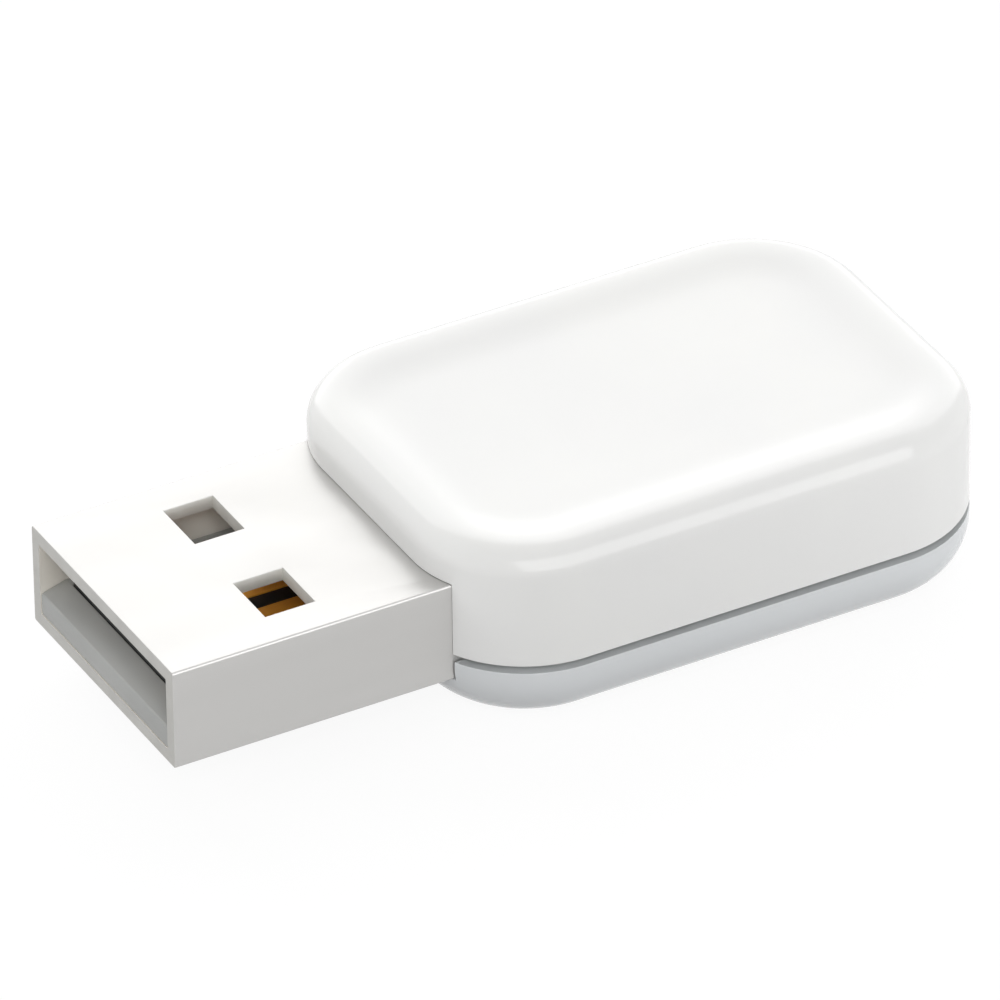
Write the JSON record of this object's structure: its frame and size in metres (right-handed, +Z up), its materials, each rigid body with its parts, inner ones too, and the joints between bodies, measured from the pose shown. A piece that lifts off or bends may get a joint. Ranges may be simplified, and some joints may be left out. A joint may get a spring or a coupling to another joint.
{
  "type": "smart home usb radio stick",
  "caption": "Short white radio stick: a two-part snapped housing with a dished top and rounded corners, on a type A plug that goes into a computer or hub.",
  "frame": {"origin": "middle of the whole stick's outline, on the flat underside of the housing", "axes": "+X along the stick from the plug's mouth to the closed end, +Y to the left as seen from the mouth, +Z up through the dished top"},
  "size_m": [0.0364, 0.0176, 0.0084],
  "materials": {
    "housing_white": "glossy moulded",
    "plug_steel": "satin, bright nickel",
    "insulator_grey": "moulded",
    "bed_black": "moulded",
    "contact_gold": "gold plated",
    "board_green": "solder mask",
    "tin_sheet": "tinned, satin",
    "chip_black": "moulded",
    "crystal_can": "plated lid",
    "fuse_green": "coated polymer",
    "ferrite_grey": "fired",
    "ceramic_tan": "fired",
    "resistor_black": "coated"
  },
  "bodies": {
    "root": {"bottom_housing": "housing_white", "top_housing": "housing_white", "usb_shell": "plug_steel", "usb_insulator": "insulator_grey", "contact_bed": "bed_black", "contact_vbus": "contact_gold", "contact_data_minus": "contact_gold", "contact_data_plus": "contact_gold", "contact_ground": "contact_gold", "circuit_board": "board_green", "shield_can": "tin_sheet", "antenna": "tin_sheet", "radio_chip": "chip_black", "radio_crystal": "crystal_can", "band_filter": "crystal_can", "usb_bridge_chip": "chip_black", "flash_memory": "chip_black", "voltage_regulator": "chip_black", "esd_array": "chip_black", "resettable_fuse": "fuse_green", "ground_ferrite": "ferrite_grey", "bulk_capacitor": "ceramic_tan", "ceramic_capacitor_1": "ceramic_tan", "ceramic_capacitor_2": "ceramic_tan", "ceramic_capacitor_3": "ceramic_tan", "ceramic_capacitor_4": "ceramic_tan", "chip_resistor_1": "resistor_black", "chip_resistor_2": "resistor_black", "chip_resistor_3": "resistor_black"}
  },
  "joints": []
}
